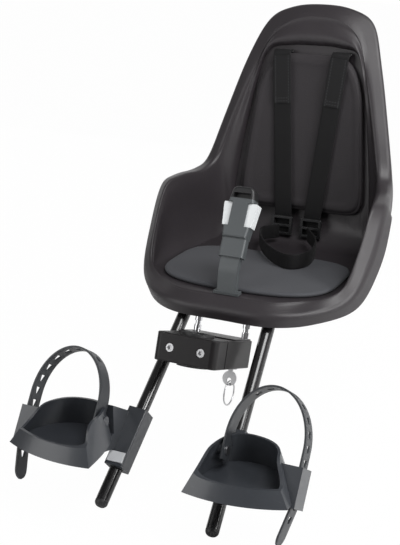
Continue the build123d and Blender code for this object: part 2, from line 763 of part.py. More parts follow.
# Mount block, split at the bore into a body and a front cap
body_depth = block_rear - clamp_gap / 2
cap_depth = block_front - clamp_gap / 2
with BuildPart() as mount_block:
    with BuildSketch(block_plane.offset(-block_half_height)):
        with Locations((0, block_rear - body_depth / 2)):
            Rectangle(2 * block_half_width, body_depth)
    extrude(amount=2 * block_half_height)
    along_steering = Axis((0, 0, 0), block_plane.z_dir)
    backwards = Axis((0, 0, 0), block_plane.y_dir)
    fillet(mount_block.edges().filter_by(along_steering).sort_by(backwards)[-2:], block_corner)
    for end in (0, -1):
        fillet(mount_block.faces().sort_by(along_steering)[end].edges().sort_by(backwards)[1:], block_fillet)
    with BuildSketch(block_plane.offset(-block_half_height)):
        Circle(shim_radius + fit_gap)
    extrude(amount=2 * block_half_height, mode=Mode.SUBTRACT)
    with BuildSketch(block_plane.offset(pin_foot - clearance)):
        with Locations((pin_x, pin_back), (-pin_x, pin_back)):
            Circle(pin_radius + fit_gap)
    extrude(amount=pin_depth + 2 * clearance, mode=Mode.SUBTRACT)
    with BuildSketch(block_plane.offset(-block_half_height)):
        with Locations((lock_x, lock_back)):
            Circle(lock_radius + fit_gap)
    extrude(amount=lock_length - lock_proud, mode=Mode.SUBTRACT)
    bolt_start = Plane(block_plane.from_local_coords((0, clamp_gap / 2, 0)), x_dir=(1, 0, 0),
                       z_dir=block_plane.y_dir)
    with BuildSketch(bolt_start):
        with Locations((clamp_bolt_x, 0), (-clamp_bolt_x, 0)):
            Circle(clamp_bolt_radius + fit_gap)
    extrude(amount=clamp_bolt_length - cap_depth, mode=Mode.SUBTRACT)
save(mount_block.part, "mount_block")

cap_face = Plane(block_plane.from_local_coords((0, -block_front, 0)), x_dir=(1, 0, 0),
                 z_dir=block_plane.y_dir)
with BuildPart() as clamp_cap:
    with BuildSketch(block_plane.offset(-block_half_height)):
        with Locations((0, -block_front + cap_depth / 2)):
            Rectangle(2 * block_half_width, cap_depth)
    extrude(amount=2 * block_half_height)
    fillet(clamp_cap.edges().filter_by(along_steering).sort_by(backwards)[:2], block_corner)
    for end in (0, -1):
        fillet(clamp_cap.faces().sort_by(along_steering)[end].edges().sort_by(backwards)[:-1], block_fillet)
    with BuildSketch(block_plane.offset(-block_half_height)):
        Circle(shim_radius + fit_gap)
    extrude(amount=2 * block_half_height, mode=Mode.SUBTRACT)
    with BuildSketch(cap_face):
        with Locations((clamp_bolt_x, 0), (-clamp_bolt_x, 0)):
            Circle(clamp_head_radius + clearance)
    extrude(amount=clamp_head_height + clamp_head_recess, mode=Mode.SUBTRACT)
    with BuildSketch(cap_face):
        with Locations((clamp_bolt_x, 0), (-clamp_bolt_x, 0)):
            Circle(clamp_bolt_radius + fit_gap)
    extrude(amount=block_front, mode=Mode.SUBTRACT)
save(clamp_cap.part, "clamp_cap")

# Socket-head bolt of the clamp
head_face = cap_face.offset(clamp_head_recess)
with BuildPart() as clamp_bolt:
    with BuildSketch(head_face):
        with Locations((clamp_bolt_x, 0)):
            Circle(clamp_head_radius)
    extrude(amount=clamp_head_height)
    with BuildSketch(head_face):
        with Locations((clamp_bolt_x, 0)):
            Circle(clamp_bolt_radius)
    extrude(amount=clamp_bolt_length)
    with BuildSketch(head_face):
        with Locations((clamp_bolt_x, 0)):
            RegularPolygon(hex_key_radius, 6)
    extrude(amount=hex_key_depth, mode=Mode.SUBTRACT)
save_pair(clamp_bolt.part, "clamp_bolt")

# Split shim ring, flanged above and below the block
with BuildPart() as stem_shim:
    with BuildSketch(block_plane.offset(-block_half_height)):
        Circle(shim_radius)
    extrude(amount=2 * block_half_height)
    for level, direction in ((block_half_height, 1), (-block_half_height, -1)):
        with BuildSketch(block_plane.offset(level)):
            Circle(shim_flange_radius)
        extrude(amount=direction * shim_flange)
    with BuildSketch(block_plane.offset(-block_half_height - shim_flange)):
        Circle(stem_radius)
        with Locations((0, shim_flange_radius / 2)):
            Rectangle(shim_split, shim_flange_radius + 2 * clearance)
    extrude(amount=2 * (block_half_height + shim_flange), mode=Mode.SUBTRACT)
save(stem_shim.part, "stem_shim")

# Lid on the rear of the block, pierced for the pins
lid_front = shim_flange_radius + lid_margin
lid_depth = block_rear - lid_margin - lid_front
with BuildPart() as block_lid:
    with BuildSketch(block_plane.offset(block_half_height)):
        with Locations((0, lid_front + lid_depth / 2)):
            RectangleRounded(2 * (block_half_width - lid_margin / 2), lid_depth, lid_margin)
        with Locations((pin_x, pin_back), (-pin_x, pin_back)):
            Circle(pin_radius + clearance, mode=Mode.SUBTRACT)
    extrude(amount=lid_thickness)
save(block_lid.part, "block_lid")

# Lock barrel in the block's underside, its key and the key ring
lock_plane = Plane(block_plane.from_local_coords((lock_x, lock_back, -block_half_height - lock_proud)),
                   x_dir=(1, 0, 0), z_dir=block_plane.z_dir)
with BuildPart() as lock_barrel:
    with BuildSketch(lock_plane):
        Circle(lock_radius)
    extrude(amount=lock_length - fit_gap)
    with BuildSketch(lock_plane):
        Circle(key_blade_width / 2 + 2 * clearance)
    extrude(amount=key_blade_length + clearance, mode=Mode.SUBTRACT)
save(lock_barrel.part, "lock_barrel")

key_face = Plane(lock_plane.from_local_coords((0, -key_blade_thickness / 2, 0)), x_dir=(1, 0, 0),
                 z_dir=lock_plane.y_dir)
bow_drop = key_neck + key_bow_radius
with BuildPart() as lock_key:
    with BuildSketch(key_face):
        with Locations((0, bow_drop)):
            Circle(key_bow_radius)
        with Locations((0, (bow_drop - key_blade_length) / 2)):
            Rectangle(key_blade_width, bow_drop + key_blade_length)
        with Locations((0, bow_drop + key_hole_drop)):
            Circle(key_hole_radius, mode=Mode.SUBTRACT)
    extrude(amount=key_blade_thickness)
save(lock_key.part, "lock_key")

# The ring hangs straight down from the bottom of the bow's hole, which is tilted with the block
ring_slant = key_blade_thickness * sin(tilt)
ring_drop = bow_drop + key_hole_drop + key_hole_radius - ring_wire - ring_slant
ring_top = lock_plane.from_local_coords((0, 0, -ring_drop))
ring_centre = ring_top - Vector(0, 0, ring_radius)
with BuildPart() as key_ring:
    with BuildSketch(Plane(ring_top, x_dir=(1, 0, 0), z_dir=(0, 1, 0))):
        Circle(ring_wire)
    revolve(axis=Axis(ring_centre, (1, 0, 0)))
save(key_ring.part, "key_ring")

# Planes of a footrest: the foot strap leans back, and the sleeve runs along the leg
strap_lean = radians(foot_strap_lean)
strap_up = Vector(0, sin(strap_lean), cos(strap_lean))
strap_plane = Plane((0, foot_strap_y, foot_strap_z), x_dir=(1, 0, 0), z_dir=Vector(1, 0, 0).cross(strap_up))
sleeve_plane = Plane(leg_tip + leg_up * (sleeve_height - sleeve_length / 2), x_dir=(1, 0, 0), z_dir=leg_up)

# Middle line of the foot strap in its plane, from the tail's end over the arch to the inner root
with BuildLine() as foot_strap_path:
    arch_centre = ((foot_strap_root_x + foot_strap_outer_x) / 2, foot_strap_shoulder)
    Line((foot_strap_tail_x, foot_strap_tail), (foot_strap_outer_x, foot_strap_turn))
    Line((foot_strap_outer_x, foot_strap_turn), (foot_strap_outer_x, foot_strap_shoulder))
    EllipticalCenterArc(arch_centre, (foot_strap_outer_x - foot_strap_root_x) / 2,
                        foot_strap_rise - foot_strap_shoulder, arc_size=180)
    Line((foot_strap_root_x, foot_strap_shoulder), (foot_strap_root_x, foot_strap_root))
strap_wire = foot_strap_path.wire()


def strap_hole_plane(number):
    """Plane across the strap's thickness at one of its holes."""
    place = (strap_hole_first + number * strap_hole_pitch) / strap_wire.length
    spot = strap_wire.position_at(place)
    middle = strap_plane.from_local_coords(spot)
    run = strap_plane.from_local_coords(spot + strap_wire.tangent_at(place)) - middle
    return Plane(middle, x_dir=strap_plane.z_dir, z_dir=run.cross(strap_plane.z_dir))


# Footrest: a scoop whose walls lean in to its rim, with a low toe lip and a high heel,
# on a sleeve round the leg
foot_top_z = foot_bottom_z + foot_heel_height
foot_lip_z = foot_bottom_z + foot_lip_height
foot_floor_z = foot_bottom_z + foot_wall
strap_inner_x = foot_strap_outer_x - foot_strap_thickness / 2
guard_inner_x = foot_strap_outer_x + foot_strap_thickness / 2 + guard_gap
guard_half = foot_strap_width / 2 + guard_gap
guard_plane = Plane(strap_plane.origin, x_dir=strap_up, z_dir=(1, 0, 0))
guard_middle = (guard_low + guard_high) / 2
guard_height = guard_high - guard_low
peg_up = strap_plane.to_local_coords(strap_hole_plane(peg_hole).origin).Y
boss_face_x = foot_strap_root_x - foot_strap_thickness / 2 - fit_gap
notch_low = foot_strap_root - clearance
notch_height = foot_strap_shoulder + foot_heel_height - notch_low
notch_middle = notch_low + notch_height / 2
web_start = release_up + release_length + web_end_gap
web_low = sleeve_plane.from_local_coords((0, -sleeve_size / 2, web_start))
web_root = sleeve_plane.from_local_coords((0, 0, web_start))
web_high = sleeve_plane.from_local_coords((0, 0, sleeve_length - web_end_gap))
release_middle = release_up + release_length / 2
release_plane = Plane(sleeve_plane.from_local_coords((0, -sleeve_size / 2, release_middle)), x_dir=(1, 0, 0),
                      z_dir=-sleeve_plane.y_dir)
release_pocket = release_depth + release_travel + clearance
skew = radians(foot_rise_skew)
rise_plane = Plane((foot_rise_x, foot_rise_y, 0), x_dir=(-sin(skew), cos(skew), 0),
                   z_dir=(cos(skew), sin(skew), 0))


def inset(toe, heel):
    """The two lines of a scoop's outline, moved inwards by its wall."""
    corners = [Vector(*point) for point in toe[:-1] + heel[:-1]]
    moved = []
    for before, corner, after in zip(corners[-1:] + corners[:-1], corners, corners[1:] + corners[:1]):
        arrive, leave = (corner - before).normalized(), (after - corner).normalized()
        lean = Vector(-arrive.Y - leave.Y, arrive.X + leave.X) * (foot_wall / (1 + arrive.dot(leave)))
        moved.append(corner + lean)
    return moved[:len(toe)], moved[len(toe) - 1:] + moved[:1]


sole_hollow_toe, sole_hollow_heel = inset(sole_toe, sole_heel)
rim_hollow_toe, rim_hollow_heel = inset(rim_toe, rim_heel)
with BuildPart() as foot_hollow:
    with BuildSketch(Plane.XY.offset(foot_bottom_z)):
        with BuildLine():
            ThreePointArc(*sole_hollow_toe)
            Spline(*sole_hollow_heel)
        make_face()
    with BuildSketch(Plane.XY.offset(foot_top_z)):
        with BuildLine():
            ThreePointArc(*rim_hollow_toe)
            Spline(*rim_hollow_heel)
        make_face()
    loft()
    split(bisect_by=Plane.XY.offset(foot_floor_z), keep=Keep.TOP)

with BuildPart() as footrest:
    with BuildSketch(Plane.XY.offset(foot_bottom_z)):
        with BuildLine():
            ThreePointArc(*sole_toe)
            Spline(*sole_heel)
        make_face()
    with BuildSketch(Plane.XY.offset(foot_top_z)):
        with BuildLine():
            ThreePointArc(*rim_toe)
            Spline(*rim_heel)
        make_face()
    loft()
    with BuildSketch(Plane.YZ.offset(web_inner_x)):
        with BuildLine():
            Polyline((web_front_y, foot_bottom_z), (web_low.Y, web_low.Z), (web_root.Y, web_root.Z),
                     (web_high.Y, web_high.Z), (web_heel_y, foot_top_z - web_top_drop),
                     (web_heel_y, foot_bottom_z), close=True)
        make_face()
    extrude(amount=web_outer_x - web_inner_x)
    with BuildSketch(guard_plane.offset(guard_root_x)):
        with Locations((guard_middle, 0)):
            Rectangle(guard_height, 2 * (guard_half + guard_rib))
    extrude(amount=guard_inner_x + guard_thickness - guard_root_x)
    with BuildSketch(guard_plane.offset(strap_inner_x - guard_gap)):
        with Locations((guard_middle, 0)):
            Rectangle(guard_height, 2 * guard_half)
    extrude(amount=guard_inner_x - strap_inner_x + guard_gap, mode=Mode.SUBTRACT)
    add(foot_hollow.part, mode=Mode.SUBTRACT)
    with BuildSketch(guard_plane.offset(boss_face_x)):
        with Locations((notch_middle, 0)):
            Rectangle(notch_height, 2 * guard_half)
    extrude(amount=foot_strap_thickness + fit_gap + clearance, mode=Mode.SUBTRACT)
    with BuildSketch(rise_plane):
        with BuildLine():
            Line((-foot_rise, foot_lip_z), (0, foot_lip_z))
            Spline((0, foot_lip_z), (foot_rise, foot_top_z), tangents=[(1, 0), (1, 0)])
            Polyline((foot_rise, foot_top_z), (-foot_rise, foot_top_z), (-foot_rise, foot_lip_z))
        make_face()
    extrude(amount=guard_inner_x, both=True, mode=Mode.SUBTRACT)
    with BuildSketch(guard_plane.offset(strap_inner_x - guard_gap)):
        with Locations((peg_up, 0)):
            Circle(peg_radius)
    extrude(amount=guard_inner_x - strap_inner_x + guard_gap)
    with BuildSketch(guard_plane.offset(boss_root_x)):
        with Locations((rivet_up, 0)):
            Circle(boss_radius)
    extrude(amount=boss_face_x - boss_root_x)
    with BuildSketch(guard_plane.offset(boss_face_x)):
        with Locations((rivet_up, 0)):
            Circle(rivet_radius + fit_gap)
    extrude(amount=-rivet_grip - fit_gap, mode=Mode.SUBTRACT)
    with BuildSketch(sleeve_plane):
        RectangleRounded(sleeve_size, sleeve_size, sleeve_corner)
    extrude(amount=sleeve_length)
    with BuildSketch(sleeve_plane):
        Circle(tube_radius + clearance)
    extrude(amount=sleeve_length, mode=Mode.SUBTRACT)
    with BuildSketch(release_plane):
        Rectangle(release_width + 2 * clearance, release_length + 2 * clearance)
    extrude(amount=-release_pocket, mode=Mode.SUBTRACT)
save_pair(footrest.part, "footrest")

# Release button in the sleeve's upper face
with BuildPart() as release_button:
    with BuildSketch(release_plane.offset(-release_depth)):
        Rectangle(release_width, release_length)
    extrude(amount=release_depth + release_proud)
    release_face = release_button.faces().sort_by(Axis((0, 0, 0), release_plane.z_dir))[-1]
    chamfer(release_face.edges(), release_proud / 3)
save_pair(release_button.part, "release_button")

# Plate under the sole
with BuildPart() as foot_plate:
    with BuildSketch(Plane.XY.offset(foot_bottom_z)):
        with Locations(((plate_inner_x + plate_outer_x) / 2, (plate_front_y + plate_rear_y) / 2)):
            RectangleRounded(plate_outer_x - plate_inner_x, plate_rear_y - plate_front_y, plate_corner)
    extrude(amount=-plate_thickness)
save_pair(foot_plate.part, "foot_plate")

# Foot strap: a band with a row of holes, riveted at its inner end and hooked on the peg outside
with BuildPart() as foot_strap:
    with BuildSketch(strap_plane):
        trace(strap_wire.edges(), line_width=foot_strap_thickness)
    extrude(amount=foot_strap_width / 2, both=True)
    for number in range(strap_hole_count):
        with BuildSketch(strap_hole_plane(number)):
            Trapezoid(strap_hole_width, strap_hole_height, strap_hole_angle)
        extrude(amount=foot_strap_thickness, both=True, mode=Mode.SUBTRACT)
    with BuildSketch(guard_plane.offset(foot_strap_root_x)):
        with Locations((rivet_up, 0)):
            Circle(rivet_radius + fit_gap)
    extrude(amount=foot_strap_thickness, both=True, mode=Mode.SUBTRACT)
save_pair(foot_strap.part, "foot_strap")

# Rivet through the strap's inner end
rivet_head_x = foot_strap_root_x + foot_strap_thickness / 2 + fit_gap
with BuildPart() as foot_rivet:
    with BuildSketch(guard_plane.offset(boss_face_x - rivet_grip)):
        with Locations((rivet_up, 0)):
            Circle(rivet_radius)
    extrude(amount=rivet_head_x - boss_face_x + rivet_grip)
    with BuildSketch(guard_plane.offset(rivet_head_x)):
        with Locations((rivet_up, 0)):
            Circle(rivet_head_radius)
    extrude(amount=rivet_head)
save_pair(foot_rivet.part, "foot_rivet")
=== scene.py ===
import bmesh
import bpy
import numpy as np
from math import cos, radians, sin
from mathutils import Matrix, Vector


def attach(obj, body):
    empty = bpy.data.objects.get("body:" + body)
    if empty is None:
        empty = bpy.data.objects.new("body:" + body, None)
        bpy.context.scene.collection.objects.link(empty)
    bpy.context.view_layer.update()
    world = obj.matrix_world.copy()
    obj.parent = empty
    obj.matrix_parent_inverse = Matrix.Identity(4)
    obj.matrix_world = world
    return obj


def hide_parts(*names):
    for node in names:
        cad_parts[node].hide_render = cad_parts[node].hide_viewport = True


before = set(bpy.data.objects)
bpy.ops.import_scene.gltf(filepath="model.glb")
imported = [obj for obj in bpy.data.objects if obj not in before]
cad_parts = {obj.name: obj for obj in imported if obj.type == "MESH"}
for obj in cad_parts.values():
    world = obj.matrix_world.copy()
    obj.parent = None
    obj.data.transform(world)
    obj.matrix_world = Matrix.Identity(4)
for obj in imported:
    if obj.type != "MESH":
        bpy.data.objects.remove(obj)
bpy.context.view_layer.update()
scene = bpy.context.scene
print("frame loaded:", len(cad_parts), "solids")

# camera, floor and light

camera = {"turn": 25.9, "lift": 19.0, "distance": 1.323, "right": 0.00534, "up": 0.09196,
          "focal": 1115.0, "picture": 545.0, "sensor": 36.0, "near": 0.01}


def placeCamera(view):
    # the camera stands on a ray at the given turn and lift, pushed sideways and up in its own picture;
    # focal and picture are in pixels, and the longer side of the picture is the sensor's width
    turn, lift = radians(view["turn"]), radians(view["lift"])
    back = Vector((sin(turn) * cos(lift), -cos(turn) * cos(lift), sin(lift)))
    right = Vector((cos(turn), sin(turn), 0))
    up = back.cross(right)
    data = bpy.data.cameras.new("studioCamera")
    data.lens = view["sensor"] * view["focal"] / view["picture"]
    data.clip_start = view["near"]
    eye = bpy.data.objects.new("studioCamera", data)
    spot = back * view["distance"] + right * view["right"] + up * view["up"]
    eye.matrix_world = Matrix.Translation(spot) @ Matrix((right, up, back)).transposed().to_4x4()
    scene.collection.objects.link(eye)
    scene.camera = eye


placeCamera(camera)

studio = {"floor": -0.176, "reach": 6.0, "rear": 1.7, "tall": 1.7, "paper": (0.9, 0.9, 0.9, 1),
          "glow": (1, 1, 1, 1), "floorWhite": 0.985, "wallWhite": 1.0, "world": 0.17}


def whitePaper(name, setup, ray, share):
    # pale matte paper that one kind of ray sees as white, by the given share
    paper = bpy.data.materials.new(name)
    paper.use_nodes = True
    nodes, links = paper.node_tree.nodes, paper.node_tree.links
    nodes.clear()
    matte = nodes.new("ShaderNodeBsdfDiffuse")
    matte.inputs["Color"].default_value = setup["paper"]
    glow = nodes.new("ShaderNodeEmission")
    glow.inputs["Color"].default_value = setup["glow"]
    glow.inputs["Strength"].default_value = 1.0
    path = nodes.new("ShaderNodeLightPath")
    seen = nodes.new("ShaderNodeMath")
    seen.operation = "MULTIPLY"
    seen.inputs[1].default_value = share
    links.new(path.outputs[ray], seen.inputs[0])
    mix = nodes.new("ShaderNodeMixShader")
    links.new(seen.outputs[0], mix.inputs["Fac"])
    links.new(matte.outputs[0], mix.inputs[1])
    links.new(glow.outputs[0], mix.inputs[2])
    out = nodes.new("ShaderNodeOutputMaterial")
    links.new(mix.outputs[0], out.inputs["Surface"])
    return paper


def layPaper(name, corners, paper):
    # one flat sheet of the studio
    mesh = bpy.data.meshes.new(name)
    mesh.from_pydata(corners, [], [(0, 1, 2, 3)])
    mesh.materials.append(paper)
    sheet = bpy.data.objects.new(name, mesh)
    scene.collection.objects.link(sheet)
    return sheet


def buildStudio(setup):
    # a wide floor that is white to the eye, and behind the seat a wall that only reflections see
    reach, level, rear, top = setup["reach"], setup["floor"], setup["rear"], setup["tall"]
    ground = [(-reach, -reach, level), (reach, -reach, level),
              (reach, reach, level), (-reach, reach, level)]
    backdrop = [(-reach, rear, level), (reach, rear, level), (reach, rear, top), (-reach, rear, top)]
    floorPaper = whitePaper("floorPaper", setup, "Is Camera Ray", setup["floorWhite"])
    wallPaper = whitePaper("wallPaper", setup, "Is Glossy Ray", setup["wallWhite"])
    layPaper("studioFloor", ground, floorPaper)
    wall = layPaper("studioWall", backdrop, wallPaper)
    wall.visible_camera = False


buildStudio(studio)


def lightWorld(setup):
    # an even grey sky lights the object, and the eye sees it as white
    world = bpy.data.worlds.new("studioSky")
    world.use_nodes = True
    nodes, links = world.node_tree.nodes, world.node_tree.links
    nodes.clear()
    ray = nodes.new("ShaderNodeLightPath")
    mix = nodes.new("ShaderNodeMixShader")
    links.new(ray.outputs["Is Camera Ray"], mix.inputs["Fac"])
    for socket, strength in ((1, setup["world"]), (2, 1.0)):
        sky = nodes.new("ShaderNodeBackground")
        sky.inputs["Color"].default_value = setup["glow"]
        sky.inputs["Strength"].default_value = strength
        links.new(sky.outputs[0], mix.inputs[socket])
    out = nodes.new("ShaderNodeOutputWorld")
    links.new(mix.outputs[0], out.inputs["Surface"])
    scene.world = world


lightWorld(studio)

lampAim = (0, 0.15, 0.08)
lamps = [
    {"name": "keyLamp", "place": (2.3, -0.45, 0.95), "size": 0.9, "power": 32.0},
    {"name": "fillLamp", "place": (-1.5, -1.6, 0.9), "size": 1.4, "power": 14.0},
    {"name": "topLamp", "place": (0.9, -0.3, 1.7), "size": 1.0, "power": 27.0},
]


def hangLamps(rows):
    # each lamp is a square panel aimed at the middle of the seat
    for row in rows:
        data = bpy.data.lights.new(row["name"], "AREA")
        data.size = row["size"]
        data.energy = row["power"]
        lamp = bpy.data.objects.new(row["name"], data)
        lamp.location = row["place"]
        aim = Vector(lampAim) - Vector(row["place"])
        lamp.rotation_euler = aim.to_track_quat("-Z", "Y").to_euler()
        scene.collection.objects.link(lamp)


hangLamps(lamps)
scene.view_settings.view_transform = "Standard"
print("studio ready")

# shared effects


def openGroup(name, inputs, outputs):
    # a shader group with float or vector sockets
    group = bpy.data.node_groups.new(name, "ShaderNodeTree")
    for label, kind in inputs:
        group.interface.new_socket(label, in_out="INPUT", socket_type=kind)
    for label, kind in outputs:
        group.interface.new_socket(label, in_out="OUTPUT", socket_type=kind)
    return group, group.nodes.new("NodeGroupInput"), group.nodes.new("NodeGroupOutput")


def mathNode(tree, operation, first, second=None, clamp=False):
    # one arithmetic node; numbers go on the sockets, sockets are linked
    node = tree.nodes.new("ShaderNodeMath")
    node.operation = operation
    node.use_clamp = clamp
    for index, value in enumerate((first, second)):
        if value is None:
            continue
        if isinstance(value, (int, float)):
            node.inputs[index].default_value = value
        else:
            tree.links.new(value, node.inputs[index])
    return node.outputs[0]


grainLook = {"fineScale": 0.45, "fineDetail": 3.0, "pit": 0.5, "mottleScale": 14.0, "mottleDetail": 4.0,
             "rubStretch": (1.0, 6.0, 9.0), "rubTurn": (0.5, 0.9, 0.3), "rubDetail": 5.0,
             "rubRoughness": 0.7, "rubLevel": 0.62, "rubGain": 5.0}


def buildMouldGrain(look):
    # moulded plastic: fine pebbles, broad mottling and thin rub marks
    group, enter, leave = openGroup(
        "mouldGrain",
        [("Place", "NodeSocketVector"), ("Pebbles", "NodeSocketFloat"), ("Marks", "NodeSocketFloat")],
        [("Height", "NodeSocketFloat"), ("Mottle", "NodeSocketFloat"), ("Rub", "NodeSocketFloat")])
    links = group.links
    pebble = group.nodes.new("ShaderNodeTexVoronoi")
    links.new(enter.outputs["Place"], pebble.inputs["Vector"])
    links.new(enter.outputs["Pebbles"], pebble.inputs["Scale"])
    fine = group.nodes.new("ShaderNodeTexNoise")
    fine.inputs["Detail"].default_value = look["fineDetail"]
    links.new(enter.outputs["Place"], fine.inputs["Vector"])
    fineScale = mathNode(group, "MULTIPLY", enter.outputs["Pebbles"], look["fineScale"])
    links.new(fineScale, fine.inputs["Scale"])
    pit = mathNode(group, "MULTIPLY", pebble.outputs["Distance"], look["pit"])
    links.new(mathNode(group, "ADD", pit, fine.outputs["Fac"]), leave.inputs["Height"])
    broad = group.nodes.new("ShaderNodeTexNoise")
    broad.inputs["Scale"].default_value = look["mottleScale"]
    broad.inputs["Detail"].default_value = look["mottleDetail"]
    links.new(enter.outputs["Place"], broad.inputs["Vector"])
    links.new(broad.outputs["Fac"], leave.inputs["Mottle"])
    stretch = group.nodes.new("ShaderNodeMapping")
    stretch.inputs["Scale"].default_value = look["rubStretch"]
    stretch.inputs["Rotation"].default_value = look["rubTurn"]
    links.new(enter.outputs["Place"], stretch.inputs["Vector"])
    thin = group.nodes.new("ShaderNodeTexNoise")
    thin.inputs["Detail"].default_value = look["rubDetail"]
    thin.inputs["Roughness"].default_value = look["rubRoughness"]
    links.new(stretch.outputs[0], thin.inputs["Vector"])
    links.new(enter.outputs["Marks"], thin.inputs["Scale"])
    peak = mathNode(group, "SUBTRACT", thin.outputs["Fac"], look["rubLevel"], clamp=True)
    links.new(mathNode(group, "MULTIPLY", peak, look["rubGain"], clamp=True), leave.inputs["Rub"])
    return group


weaveLook = {"ribShare": 0.6, "threadShare": 0.4}


def buildWebWeave(look):
    # webbing: raised ribs along the strap crossed by slanted threads, on the strap's own map in metres
    group, enter, leave = openGroup(
        "webWeave",
        [("Map", "NodeSocketVector"), ("Rib", "NodeSocketFloat"), ("Thread", "NodeSocketFloat")],
        [("Height", "NodeSocketFloat"), ("Shade", "NodeSocketFloat")])
    links = group.links
    split = group.nodes.new("ShaderNodeSeparateXYZ")
    links.new(enter.outputs["Map"], split.inputs[0])
    ribTurn = mathNode(group, "MULTIPLY", split.outputs["Y"], enter.outputs["Rib"])
    rib = mathNode(group, "ABSOLUTE", mathNode(group, "SINE", ribTurn))
    slant = mathNode(group, "MULTIPLY", split.outputs["X"], enter.outputs["Thread"])
    thread = mathNode(group, "ABSOLUTE", mathNode(group, "SINE", mathNode(group, "ADD", slant, ribTurn)))
    high = mathNode(group, "MULTIPLY", rib, look["ribShare"])
    low = mathNode(group, "MULTIPLY", thread, look["threadShare"])
    links.new(mathNode(group, "ADD", high, low), leave.inputs["Height"])
    links.new(mathNode(group, "MULTIPLY", rib, thread), leave.inputs["Shade"])
    return group


stitchLook = {"halfThread": 0.0006, "dashTurn": 1570.0, "dashLevel": -0.2, "endApart": 0.002}


def buildStitchRows(look):
    # sewing: short light dashes along two lines near the strap's edges and two lines across its end
    group, enter, leave = openGroup(
        "stitchRows",
        [("Map", "NodeSocketVector"), ("Half", "NodeSocketFloat"), ("End", "NodeSocketFloat")],
        [("Thread", "NodeSocketFloat")])
    links = group.links
    split = group.nodes.new("ShaderNodeSeparateXYZ")
    links.new(enter.outputs["Map"], split.inputs[0])

    def near(value):
        return mathNode(group, "LESS_THAN", mathNode(group, "ABSOLUTE", value), look["halfThread"])

    def dashes(way):
        turn = mathNode(group, "MULTIPLY", way, look["dashTurn"])
        return mathNode(group, "GREATER_THAN", mathNode(group, "SINE", turn), look["dashLevel"])

    fromMiddle = mathNode(group, "ABSOLUTE", split.outputs["Y"])
    side = mathNode(group, "SUBTRACT", fromMiddle, enter.outputs["Half"])
    sideRow = mathNode(group, "MULTIPLY", near(side), dashes(split.outputs["X"]))
    along = mathNode(group, "SUBTRACT", split.outputs["X"], enter.outputs["End"])
    fromEnd = mathNode(group, "SUBTRACT", mathNode(group, "ABSOLUTE", along), look["endApart"])
    acrossRow = mathNode(group, "MULTIPLY", near(fromEnd), dashes(split.outputs["Y"]))
    inside = mathNode(group, "LESS_THAN", side, look["halfThread"])
    endRow = mathNode(group, "MULTIPLY", acrossRow, inside)
    links.new(mathNode(group, "MAXIMUM", sideRow, endRow), leave.inputs["Thread"])
    return group


mouldGrain = buildMouldGrain(grainLook)
webWeave = buildWebWeave(weaveLook)
stitchRows = buildStitchRows(stitchLook)

# finishes


def newFinish(name, roughness, metallic=0.0):
    # an empty Principled material with its place on the object
    finish = bpy.data.materials.new(name)
    finish.use_nodes = True
    tree = finish.node_tree
    shade = next(node for node in tree.nodes if node.type == "BSDF_PRINCIPLED")
    shade.inputs["Roughness"].default_value = roughness
    shade.inputs["Metallic"].default_value = metallic
    spot = tree.nodes.new("ShaderNodeTexCoord")
    return finish, tree, shade, spot


def mixTones(tree, mask, dark, light):
    # a colour between two tones, by a mask
    mix = tree.nodes.new("ShaderNodeMix")
    mix.data_type = "RGBA"
    tree.links.new(mask, mix.inputs["Factor"])
    for socket, tone in (("A", dark), ("B", light)):
        target = next(entry for entry in mix.inputs if entry.name == socket and entry.type == "RGBA")
        if isinstance(tone, tuple):
            target.default_value = (*tone, 1)
        else:
            tree.links.new(tone, target)
    return next(socket for socket in mix.outputs if socket.type == "RGBA")


def spanValue(tree, mask, low, high):
    # a number between two ends, by a mask
    span = tree.nodes.new("ShaderNodeMapRange")
    span.inputs["To Min"].default_value = low
    span.inputs["To Max"].default_value = high
    tree.links.new(mask, span.inputs["Value"])
    return span.outputs["Result"]


def raiseSurface(tree, shade, height, strength, distance):
    # surface relief from a height
    bump = tree.nodes.new("ShaderNodeBump")
    bump.inputs["Strength"].default_value = strength
    bump.inputs["Distance"].default_value = distance
    tree.links.new(height, bump.inputs["Height"])
    tree.links.new(bump.outputs["Normal"], shade.inputs["Normal"])


def pastLevel(tree, place, edge):
    # one past a level along a way, nothing before it, with a short soft step between
    reach = tree.nodes.new("ShaderNodeVectorMath")
    reach.operation = "DOT_PRODUCT"
    reach.inputs[1].default_value = edge["way"]
    tree.links.new(place, reach.inputs[0])
    step = tree.nodes.new("ShaderNodeMapRange")
    step.inputs["From Min"].default_value = edge["level"]
    step.inputs["From Max"].default_value = edge["level"] + edge["soft"]
    tree.links.new(reach.outputs["Value"], step.inputs["Value"])
    return step.outputs["Result"]


plainLook = {"metal": 0.0, "shine": 0.5, "coat": 0.0, "coatRough": 0.12, "sheen": 0.0}


